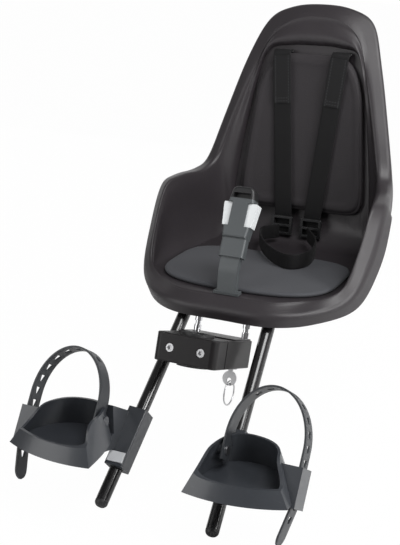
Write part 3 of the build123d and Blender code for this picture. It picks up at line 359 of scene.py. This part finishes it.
def mouldedFinish(name, ownLook):
    # plastic, foam or paint: two close tones mottled over the surface, lighter rub marks, pebbled relief,
    # and another tone past a level along a way where the look has one
    look = {**plainLook, **ownLook}
    finish, tree, shade, spot = newFinish(name, look["rough"], look["metal"])
    grain = tree.nodes.new("ShaderNodeGroup")
    grain.node_tree = mouldGrain
    grain.inputs["Pebbles"].default_value = look["pebbles"]
    grain.inputs["Marks"].default_value = look["marks"]
    tree.links.new(spot.outputs["Object"], grain.inputs["Place"])
    tone = mixTones(tree, grain.outputs["Mottle"], look["dark"], look["light"])
    worn = mixTones(tree, grain.outputs["Rub"], tone, look["worn"])
    if "past" in look:
        worn = mixTones(tree, pastLevel(tree, spot.outputs["Object"], look["past"]), worn, look["pastTone"])
    tree.links.new(worn, shade.inputs["Base Color"])
    low, high = look["rough"] - look["play"], look["rough"] + look["play"]
    tree.links.new(spanValue(tree, grain.outputs["Mottle"], low, high), shade.inputs["Roughness"])
    shade.inputs["Specular IOR Level"].default_value = look["shine"]
    shade.inputs["Coat Weight"].default_value = look["coat"]
    shade.inputs["Coat Roughness"].default_value = look["coatRough"]
    shade.inputs["Sheen Weight"].default_value = look["sheen"]
    raiseSurface(tree, shade, grain.outputs["Height"], look["relief"], look["depth"])
    return finish


looks = {
    "shellPlastic": {
        "dark": (0.024, 0.0205, 0.0230), "light": (0.032, 0.0275, 0.0310), "worn": (0.044, 0.038, 0.042),
        "rough": 0.43, "play": 0.05, "pebbles": 1500.0, "marks": 26.0, "relief": 0.22, "depth": 0.0003},
    "padFoam": {
        "dark": (0.052, 0.054, 0.061), "light": (0.066, 0.068, 0.076), "worn": (0.08, 0.082, 0.09),
        "rough": 0.74, "play": 0.06, "pebbles": 900.0, "marks": 30.0, "relief": 0.4, "depth": 0.0004,
        "sheen": 0.08, "shine": 0.35},
    "backFoam": {
        "dark": (0.024, 0.0210, 0.0235), "light": (0.031, 0.0275, 0.0305), "worn": (0.039, 0.035, 0.038),
        "rough": 0.70, "play": 0.06, "pebbles": 900.0, "marks": 30.0, "relief": 0.4, "depth": 0.0004,
        "sheen": 0.05, "shine": 0.35},
    "buckleShell": {
        "dark": (0.066, 0.073, 0.077), "light": (0.084, 0.092, 0.096), "worn": (0.11, 0.118, 0.122),
        "rough": 0.40, "play": 0.05, "pebbles": 1700.0, "marks": 40.0, "relief": 0.18, "depth": 0.0002,
        "past": {"way": (0.0, 0.4975, 0.8675), "level": 0.1985, "soft": 0.0008},
        "pastTone": (0.014, 0.014, 0.015)},
    "buttonPlastic": {
        "dark": (0.68, 0.70, 0.71), "light": (0.78, 0.80, 0.81), "worn": (0.6, 0.61, 0.62),
        "rough": 0.36, "play": 0.04, "pebbles": 1900.0, "marks": 60.0, "relief": 0.08, "depth": 0.0002},
    "releasePlastic": {
        "dark": (0.52, 0.53, 0.55), "light": (0.60, 0.61, 0.63), "worn": (0.48, 0.49, 0.5),
        "rough": 0.42, "play": 0.04, "pebbles": 1900.0, "marks": 60.0, "relief": 0.1, "depth": 0.0002},
    "adjusterPlastic": {
        "dark": (0.010, 0.010, 0.011), "light": (0.016, 0.016, 0.017), "worn": (0.04, 0.04, 0.042),
        "rough": 0.30, "play": 0.05, "pebbles": 1700.0, "marks": 60.0, "relief": 0.12, "depth": 0.0002},
    "tubePaint": {
        "dark": (0.008, 0.0075, 0.008), "light": (0.011, 0.0105, 0.011), "worn": (0.024, 0.023, 0.024),
        "rough": 0.20, "play": 0.04, "pebbles": 500.0, "marks": 44.0, "relief": 0.03, "depth": 0.0003,
        "coat": 0.5},
    "platePaint": {
        "dark": (0.010, 0.010, 0.011), "light": (0.015, 0.015, 0.016), "worn": (0.03, 0.03, 0.031),
        "rough": 0.45, "play": 0.05, "pebbles": 1200.0, "marks": 44.0, "relief": 0.1, "depth": 0.0003},
    "blockPlastic": {
        "dark": (0.0075, 0.0065, 0.007), "light": (0.011, 0.0098, 0.0105), "worn": (0.022, 0.021, 0.022),
        "rough": 0.34, "play": 0.06, "pebbles": 1300.0, "marks": 36.0, "relief": 0.12, "depth": 0.0003,
        "shine": 0.3},
    "shimPlastic": {
        "dark": (0.020, 0.020, 0.021), "light": (0.027, 0.027, 0.028), "worn": (0.04, 0.04, 0.041),
        "rough": 0.5, "play": 0.05, "pebbles": 1300.0, "marks": 36.0, "relief": 0.12, "depth": 0.0003},
    "footPlastic": {
        "dark": (0.031, 0.034, 0.040), "light": (0.042, 0.046, 0.053), "worn": (0.056, 0.06, 0.068),
        "rough": 0.30, "play": 0.06, "pebbles": 1300.0, "marks": 24.0, "relief": 0.12, "depth": 0.0003,
        "coat": 0.2},
    "strapRubber": {
        "dark": (0.026, 0.028, 0.032), "light": (0.034, 0.037, 0.041), "worn": (0.048, 0.051, 0.056),
        "rough": 0.42, "play": 0.05, "pebbles": 1200.0, "marks": 30.0, "relief": 0.18, "depth": 0.0003},
    "pinChrome": {
        "dark": (0.66, 0.66, 0.68), "light": (0.76, 0.76, 0.78), "worn": (0.55, 0.55, 0.56),
        "rough": 0.12, "play": 0.03, "pebbles": 600.0, "marks": 70.0, "relief": 0.03, "depth": 0.0002,
        "metal": 1.0},
    "boltSteel": {
        "dark": (0.50, 0.50, 0.51), "light": (0.62, 0.62, 0.63), "worn": (0.4, 0.4, 0.41),
        "rough": 0.3, "play": 0.06, "pebbles": 900.0, "marks": 90.0, "relief": 0.08, "depth": 0.0002,
        "metal": 1.0},
}
finishes = {name: mouldedFinish(name, look) for name, look in looks.items()}


def webbingFinish(name, look):
    # woven webbing on the strap's own map, with sewn rows where they are asked for
    finish, tree, shade, spot = newFinish(name, look["rough"])
    weave = tree.nodes.new("ShaderNodeGroup")
    weave.node_tree = webWeave
    weave.inputs["Rib"].default_value = look["rib"]
    weave.inputs["Thread"].default_value = look["thread"]
    tree.links.new(spot.outputs["UV"], weave.inputs["Map"])
    tone = mixTones(tree, weave.outputs["Shade"], look["dark"], look["light"])
    if look["sewn"]:
        rows = tree.nodes.new("ShaderNodeGroup")
        rows.node_tree = stitchRows
        rows.inputs["Half"].default_value = look["half"]
        rows.inputs["End"].default_value = look["end"]
        tree.links.new(spot.outputs["UV"], rows.inputs["Map"])
        tone = mixTones(tree, rows.outputs["Thread"], tone, look["sewing"])
    tree.links.new(tone, shade.inputs["Base Color"])
    low, high = look["rough"] - look["smoother"], look["rough"] + look["rougher"]
    tree.links.new(spanValue(tree, weave.outputs["Shade"], low, high), shade.inputs["Roughness"])
    shade.inputs["Sheen Weight"].default_value = look["sheen"]
    shade.inputs["Specular IOR Level"].default_value = look["shine"]
    raiseSurface(tree, shade, weave.outputs["Height"], look["relief"], look["depth"])
    return finish


webbing = {"dark": (0.003, 0.0028, 0.0032), "light": (0.009, 0.0086, 0.0095), "rough": 0.66,
           "smoother": 0.08, "rougher": 0.06, "sheen": 0.04, "shine": 0.25, "relief": 0.6, "depth": 0.0004,
           "rib": 2100.0, "thread": 1600.0, "sewn": False}
sewnPatch = {**webbing, "dark": (0.005, 0.005, 0.0055), "light": (0.014, 0.0135, 0.0145), "sewn": True,
             "half": 0.0095, "end": 0.005, "sewing": (0.03, 0.03, 0.032)}
finishes["webbing"] = webbingFinish("webbing", webbing)
finishes["sewnPatch"] = webbingFinish("sewnPatch", sewnPatch)
print("finishes ready:", len(finishes))

# carried-over solids get the finish of the longest start that fits their name

dress = {
    "seat_shell": "shellPlastic", "seat_pad": "padFoam", "back_pad": "backFoam",
    "shoulder_strap": "webbing", "hip_strap": "webbing", "strap_anchor": "platePaint",
    "strap_adjuster": "adjusterPlastic", "crotch_post": "buckleShell", "buckle_front": "buckleShell",
    "buckle_rear": "buckleShell", "buckle_button": "buttonPlastic", "leg_frame": "tubePaint",
    "leg_plug": "platePaint", "seat_carrier": "platePaint", "pin_bridge": "blockPlastic",
    "mount_pin": "pinChrome", "seat_bolt": "boltSteel", "seat_nut": "boltSteel",
    "mount_block": "blockPlastic", "clamp_cap": "blockPlastic", "clamp_bolt": "boltSteel",
    "stem_shim": "shimPlastic", "block_lid": "blockPlastic", "lock_barrel": "boltSteel",
    "lock_key": "boltSteel", "key_ring": "boltSteel", "footrest": "footPlastic",
    "foot_strap": "strapRubber", "foot_rivet": "boltSteel", "foot_plate": "platePaint",
    "release_button": "releasePlastic",
}
for node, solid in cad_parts.items():
    key = max((start for start in dress if node.startswith(start)), key=len)
    solid.data.materials.clear()
    solid.data.materials.append(finishes[dress[key]])

# surfaces

mergeReach = 1e-6
sharpTurn = radians(50)


def gridMesh(name, points, closeV=False, skin=None, keep=None):
    # points is a grid of places; neighbours make quads, closeV joins the last column to the first,
    # skin holds the map in metres at every grid corner, keep says which quads stay
    countU, countV = points.shape[:2]
    quadsU, quadsV = countU - 1, countV - (not closeV)
    rowU, rowV = np.meshgrid(np.arange(quadsU), np.arange(quadsV), indexing="ij")
    cornerU = np.stack([rowU, rowU + 1, rowU + 1, rowU], -1)
    cornerV = np.stack([rowV, rowV, rowV + 1, rowV + 1], -1)
    if keep is not None:
        cornerU, cornerV = cornerU[keep], cornerV[keep]
    cornerU, cornerV = cornerU.reshape(-1, 4), cornerV.reshape(-1, 4)
    faces = cornerU * countV + cornerV % countV
    mesh = bpy.data.meshes.new(name)
    mesh.from_pydata(points.reshape(-1, 3).tolist(), [], faces.tolist())
    if skin is not None:
        layer = mesh.uv_layers.new(name="skin")
        layer.data.foreach_set("uv", skin[cornerU, cornerV].reshape(-1).astype(np.float32))
    mesh.polygons.foreach_set("use_smooth", np.ones(len(faces), dtype=bool))
    thing = bpy.data.objects.new(name, mesh)
    scene.collection.objects.link(thing)
    return thing


def closeUp(thing, capEnds=False):
    # merge doubled corners, or cap the open ends instead, and turn the faces outwards
    work = bmesh.new()
    work.from_mesh(thing.data)
    if capEnds:
        bmesh.ops.holes_fill(work, edges=[edge for edge in work.edges if edge.is_boundary])
    else:
        bmesh.ops.remove_doubles(work, verts=work.verts, dist=mergeReach)
    bmesh.ops.recalc_face_normals(work, faces=work.faces)
    work.to_mesh(thing.data)
    work.free()


def finishPiece(thing, finish, body, slot, *nodes):
    # material, body and the solids that the piece stands for; slot is not used
    thing.data.materials.append(finishes[finish])
    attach(thing, body)
    if nodes:
        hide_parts(*nodes)


def signedPower(value, power):
    # a power of the size that keeps the sign
    return np.sign(value) * np.abs(value)**power


def lengthAlong(line):
    # length of a line from its first point to each of its points
    return np.concatenate([[0], np.cumsum(np.linalg.norm(np.diff(line, axis=0), axis=1))])


# back of the seat, as in the solids: the pan curves up into a back that leans and is hollow across

backForm = {"recline": 8.7, "panRear": 0.300, "panTop": 0.042, "fillet": 0.042, "dish": 0.5}
backTurn = radians(90 - backForm["recline"])
backStart = np.array([0, backForm["panRear"] + backForm["fillet"] * sin(backTurn),
                      backForm["panTop"] + backForm["fillet"] * (1 - cos(backTurn))])
backUp = np.array([0, cos(backTurn), sin(backTurn)])
backIn = np.array([0, -sin(backTurn), cos(backTurn)])
sideways = np.array([1.0, 0, 0])
upright = np.array([0.0, 0, 1])


def onBack(x, rise, depth):
    # place on the back: sideways, up along it and in towards the child
    return backStart + x[..., None] * sideways + rise[..., None] * backUp + depth[..., None] * backIn


def dish(x):
    # hollow of the back: the depth of an arc at a distance from its middle
    radius = backForm["dish"]
    return radius - np.sqrt(radius**2 - x**2)


# pads: rings of a squared oval grow from the middle of the top, round the rim and shrink again underneath

padEdge = {"inset": 0.035, "under": 0.04, "underRings": 8, "rollRings": 9}
padRoll = np.linspace(0, np.pi, padEdge["rollRings"])


def squaredOval(around, upper, lower):
    # sideways and upward shares of an oval whose corners are squarer the higher the number of their half
    turn = np.linspace(0, 2 * np.pi, around, endpoint=False)
    power = np.where(np.sin(turn) > 0, 2 / upper, 2 / lower)
    return signedPower(np.cos(turn), power), signedPower(np.sin(turn), power)


def padShares(rings):
    # how far out from the middle each ring lies: out over the top, round the edge and back underneath
    top = np.linspace(1, padEdge["inset"], rings)
    edge = padEdge["inset"] * (1 - np.sin(padRoll))
    under = np.linspace(padEdge["under"], 1, padEdge["underRings"])
    return 1 - np.concatenate([top, edge, under])[:, None]


seatPad = {"half": 0.1178, "middle": 0.1735, "reach": 0.0763, "front": 2.77, "rear": 4.6, "low": 0.0424,
           "high": 0.0484, "crown": 0.0015, "wave": 0.00025, "waveX": 41, "waveSlant": 3, "waveY": 37,
           "around": 160, "rings": 24}


def buildSeatPad(pad):
    # flat below; the top is crowned by one less the cube of the way out, with a faint wave on the crown
    share = padShares(pad["rings"])
    edgeX, edgeY = squaredOval(pad["around"], pad["rear"], pad["front"])
    x, y = share * (pad["half"] * edgeX), share * (pad["reach"] * edgeY)
    bulge = pad["crown"] * (1 - np.linspace(0, 1, pad["rings"])**3)
    middle = (pad["high"] + pad["low"]) / 2
    half = (pad["high"] - pad["low"]) / 2
    below = np.full(padEdge["underRings"], pad["low"])
    height = np.concatenate([pad["high"] + bulge, middle + half * np.cos(padRoll), below])
    top = np.concatenate([bulge, np.zeros(len(padRoll) + len(below))]) / pad["crown"]
    wave = np.sin(pad["waveX"] * x + pad["waveSlant"] * y) * np.cos(pad["waveY"] * y) - 1
    sag = pad["wave"] * top[:, None] * wave
    points = np.stack([x, pad["middle"] + y, height[:, None] + sag], -1)
    thing = gridMesh("seatPad", points, closeV=True)
    closeUp(thing)
    finishPiece(thing, "padFoam", "seat", "pad_foam", "seat_pad")


buildSeatPad(seatPad)

backPad = {"low": 0.0085, "high": 0.2255, "wide": 0.0945, "shoulder": 0.172, "highHalf": 0.0775,
           "topHalf": 0.0665, "lowCorner": 9.0, "highCorner": 5.0, "gap": 0.0011, "thick": 0.0070,
           "crown": 0.0008, "welt": 0.0011, "weltAt": 0.93, "weltWide": 0.035, "around": 192, "rings": 30}


def buildBackPad(pad):
    # on the hollow of the back, wide below and narrow above; the top is crowned like the seat pad's
    # and has a welt near the edge, a bell curve of the way out
    share = padShares(pad["rings"])
    edgeSide, edgeRise = squaredOval(pad["around"], pad["highCorner"], pad["lowCorner"])
    middle, reach = (pad["low"] + pad["high"]) / 2, (pad["high"] - pad["low"]) / 2
    out = np.linspace(0, 1, pad["rings"])
    welt = pad["welt"] * np.exp(-((out - pad["weltAt"]) / pad["weltWide"])**2)
    top = pad["thick"] + pad["crown"] * (1 - out**3) + welt
    edge = pad["thick"] / 2 * (1 + np.cos(padRoll))
    level = np.concatenate([top, edge, np.zeros(padEdge["underRings"])]) + pad["gap"]
    rise = middle + share * (reach * edgeRise)
    width = np.interp(rise, [pad["low"], pad["shoulder"], pad["high"]],
                      [pad["wide"], pad["highHalf"], pad["topHalf"]])
    x = share * edgeSide * width
    points = onBack(x, rise, dish(x) + level[:, None])
    thing = gridMesh("backPad", points, closeV=True)
    closeUp(thing)
    finishPiece(thing, "backFoam", "seat", "pad_foam", "back_pad")


buildBackPad(backPad)
print("pads ready")

# webbing: a flat rounded section carried along a line

section = {"around": 28, "widePower": 0.25, "thinPower": 0.5}


def ribbon(name, line, across, width, thick):
    # the section is a squared oval, its wide way across the line and its thin way along the normal of both
    ahead = np.gradient(line, axis=0)
    ahead /= np.linalg.norm(ahead, axis=1, keepdims=True)
    across = across - ahead * np.sum(across * ahead, 1, keepdims=True)
    across /= np.linalg.norm(across, axis=1, keepdims=True)
    out = np.cross(ahead, across)
    turn = np.linspace(0, 2 * np.pi, section["around"], endpoint=False)
    wideShare = signedPower(np.cos(turn), section["widePower"])
    thinShare = signedPower(np.sin(turn), section["thinPower"])
    wide = np.broadcast_to(width, len(line))[:, None] / 2 * wideShare
    thin = np.broadcast_to(thick, len(line))[:, None] / 2 * thinShare
    points = line[:, None] + across[:, None] * wide[:, :, None] + out[:, None] * thin[:, :, None]
    mapV = np.append(wide[0], wide[0, 0])
    skin = np.stack(np.broadcast_arrays(lengthAlong(line)[:, None], mapV[None, :]), -1)
    thing = gridMesh(name, points, closeV=True, skin=skin)
    closeUp(thing, capEnds=True)
    thing.data.set_sharp_from_angle(angle=sharpTurn)
    return thing


def smoothLine(stops, count):
    # a smooth line through the stops: each span is the cubic that leaves and arrives along its neighbours
    stops = np.array(stops, float)
    ends = np.concatenate([[2 * stops[0] - stops[1]], stops, [2 * stops[-1] - stops[-2]]])
    place = np.linspace(0, len(stops) - 1, count)
    span = np.minimum(place.astype(int), len(stops) - 2)
    part = (place - span)[:, None]
    before, start, stop, after = ends[span], ends[span + 1], ends[span + 2], ends[span + 3]
    square = 2 * before - 5 * start + 4 * stop - after
    cube = 3 * start - before - 3 * stop + after
    return 0.5 * (2 * start + (stop - before) * part + square * part**2 + cube * part**3)


shoulder = {"width": 0.025, "thick": 0.0016, "low": 0.0216, "top": 0.0428, "lead": 0.001, "slot": 0.229,
            "rises": (-0.027, -0.018, -0.008, 0.004, 0.02, 0.05, 0.10, 0.15),
            "underSlot": (0.0205, 0.0075, 0.002, 0, 0, 0),
            "lowDepths": (0.0122, 0.0118, 0.0120, 0.0136), "depth": 0.01417, "flatStops": 5,
            "slotDepths": (0.0139, 0.0120, 0.0080, 0.0, -0.009),
            "spread": 0.0010, "fold": 0.0010, "foldStop": 8, "foldSpan": 3, "count": 140,
            "patchLow": 0.156, "patchHigh": 0.221, "patchWidth": 0.0256, "patchThick": 0.0012,
            "patchGap": 0.0001, "patchCount": 40}


def buildShoulder(strap, side):
    # up the front of the back pad, over its top and out through the slot, which the webbing fills
    # because it is folded double there; the lower end is in the adjuster
    name = "left" if side > 0 else "right"
    slot, flat = strap["slot"], strap["depth"]
    slope = (strap["top"] - strap["low"]) / (slot + strap["lead"])

    def apart(rise):
        return side * (strap["low"] + slope * (rise + strap["lead"]))

    rise = np.array([*strap["rises"], *(slot - drop for drop in strap["underSlot"])])
    depth = np.array([*strap["lowDepths"], *[flat] * strap["flatStops"], *strap["slotDepths"]])
    line = smoothLine(onBack(apart(rise), rise, depth), strap["count"])
    place = np.linspace(0, len(rise) - 1, strap["count"])
    fold = np.clip((place - strap["foldStop"]) / strap["foldSpan"], 0, 1)
    across = sideways * side - backUp * slope * (1 - fold[:, None])
    thing = ribbon("shoulderWebbing_" + name, line, across, strap["width"] + strap["spread"] * fold,
                   strap["thick"] + strap["fold"] * fold)
    finishPiece(thing, "webbing", "seat", "webbing", "shoulder_strap_" + name)
    rise = np.linspace(strap["patchLow"], strap["patchHigh"], strap["patchCount"])
    over = flat + strap["thick"] / 2 + strap["patchThick"] / 2 + strap["patchGap"]
    line = onBack(apart(rise), rise, np.full(len(rise), over))
    across = np.broadcast_to(sideways * side - backUp * slope, line.shape)
    patch = ribbon("shoulderPatch_" + name, line, across, strap["patchWidth"], strap["patchThick"])
    finishPiece(patch, "sewnPatch", "seat", "webbing")


for side in (1, -1):
    buildShoulder(shoulder, side)

hip = {"stops": [(-0.021, 0.311), (-0.037, 0.282), (-0.004, 0.222), (0.038, 0.187), (0.060, 0.208),
                 (0.052, 0.262), (0.022, 0.311)],
       "low": 0.0506, "tall": 0.020, "thick": 0.0016, "count": 160}


def buildHip(strap):
    # a loop of webbing standing on its edge on the seat pad
    plan = smoothLine(strap["stops"], strap["count"])
    line = np.column_stack([plan, np.full(len(plan), strap["low"] + strap["tall"] / 2)])
    across = np.broadcast_to(upright, line.shape)
    thing = ribbon("hipWebbing", line, across, strap["tall"], strap["thick"])
    finishPiece(thing, "webbing", "seat", "webbing", "hip_strap")


buildHip(hip)
print("webbing ready")

# foot straps: a band of rubber over the foot with a row of tapered holes

band = {"width": 0.024, "thick": 0.0022, "lean": 33.0, "y": -0.088, "z": -0.066, "root": 0.082,
        "outer": 0.1732, "shoulder": 0.012, "rise": 0.074, "rootLow": -0.016, "turn": -0.046,
        "tail": -0.092, "tailX": 0.164, "first": 0.030, "pitch": 0.0155, "holes": 13,
        "holeWide": 0.0095, "holeTall": 0.0078, "holeNarrow": 0.0044, "holeShare": 0.5,
        "endRound": 0.012, "endLeast": 0.02, "archSteps": 200, "count": 120, "digits": 7,
        "soft": 0.0004, "softSteps": 2}


def buildBand(strap, side):
    # the line is two straight runs, half an ellipse and a straight root, measured by its length
    # from the tail; columns across the band follow the slanted sides of the holes
    name = "left" if side > 0 else "right"
    lean = radians(strap["lean"])
    up = np.array([0, sin(lean), cos(lean)])
    wide = np.cross(sideways, up)
    arch = np.linspace(0, np.pi, strap["archSteps"])
    middle, half = (strap["root"] + strap["outer"]) / 2, (strap["outer"] - strap["root"]) / 2
    tall = strap["rise"] - strap["shoulder"]
    flat = np.concatenate([
        [[strap["tailX"], strap["tail"]], [strap["outer"], strap["turn"]]],
        np.column_stack([middle + half * np.cos(arch), strap["shoulder"] + tall * np.sin(arch)]),
        [[strap["root"], strap["rootLow"]]]])
    run = lengthAlong(flat)
    centres = strap["first"] + strap["pitch"] * np.arange(strap["holes"])
    edges = np.concatenate([centres - strap["holeTall"] / 2, centres + strap["holeTall"] / 2])
    steps = np.concatenate([edges, np.linspace(0, run[-1], strap["count"])])
    place = np.unique(np.round(steps, strap["digits"]))
    line = np.column_stack([np.interp(place, run, flat[:, 0]), np.interp(place, run, flat[:, 1])])
    away = place[:, None] - centres
    nearest = away[np.arange(len(place)), np.abs(away).argmin(1)]
    grow = np.clip(nearest / strap["holeTall"] + 0.5, 0, 1)
    endShare = np.clip(1 - place / strap["endRound"], 0, 1)
    rim = strap["width"] / 2 * np.sqrt(np.clip(1 - endShare**2, strap["endLeast"], 1))
    hole = (strap["holeNarrow"] + (strap["holeWide"] - strap["holeNarrow"]) * grow) / 2
    hole = np.minimum(hole, rim * strap["holeShare"])
    shift = np.column_stack([-rim, -(rim + hole) / 2, -hole, 0 * hole, hole, (rim + hole) / 2, rim])
    base = np.array([0, strap["y"], strap["z"]]) + line[:, :1] * sideways * side + line[:, 1:] * up
    points = base[:, None] + shift[:, :, None] * wide
    mid = (place[1:] + place[:-1]) / 2
    inHole = (np.abs(mid[:, None] - centres) < strap["holeTall"] / 2).any(1)
    keep = np.ones((len(mid), shift.shape[1] - 1), bool)
    keep[inHole, 2:4] = False  # the two middle columns are the hole
    thing = gridMesh("footBand_" + name, points, keep=keep)
    closeUp(thing)
    wall = thing.modifiers.new("wall", "SOLIDIFY")
    wall.thickness = strap["thick"]
    wall.offset = 0
    soften = thing.modifiers.new("soften", "BEVEL")
    soften.width = strap["soft"]
    soften.segments = strap["softSteps"]
    soften.limit_method = "ANGLE"
    soften.angle_limit = sharpTurn
    finishPiece(thing, "strapRubber", "foot_" + name, "strap_rubber", "foot_strap_" + name)


for side in (1, -1):
    buildBand(band, side)
print("foot straps ready")
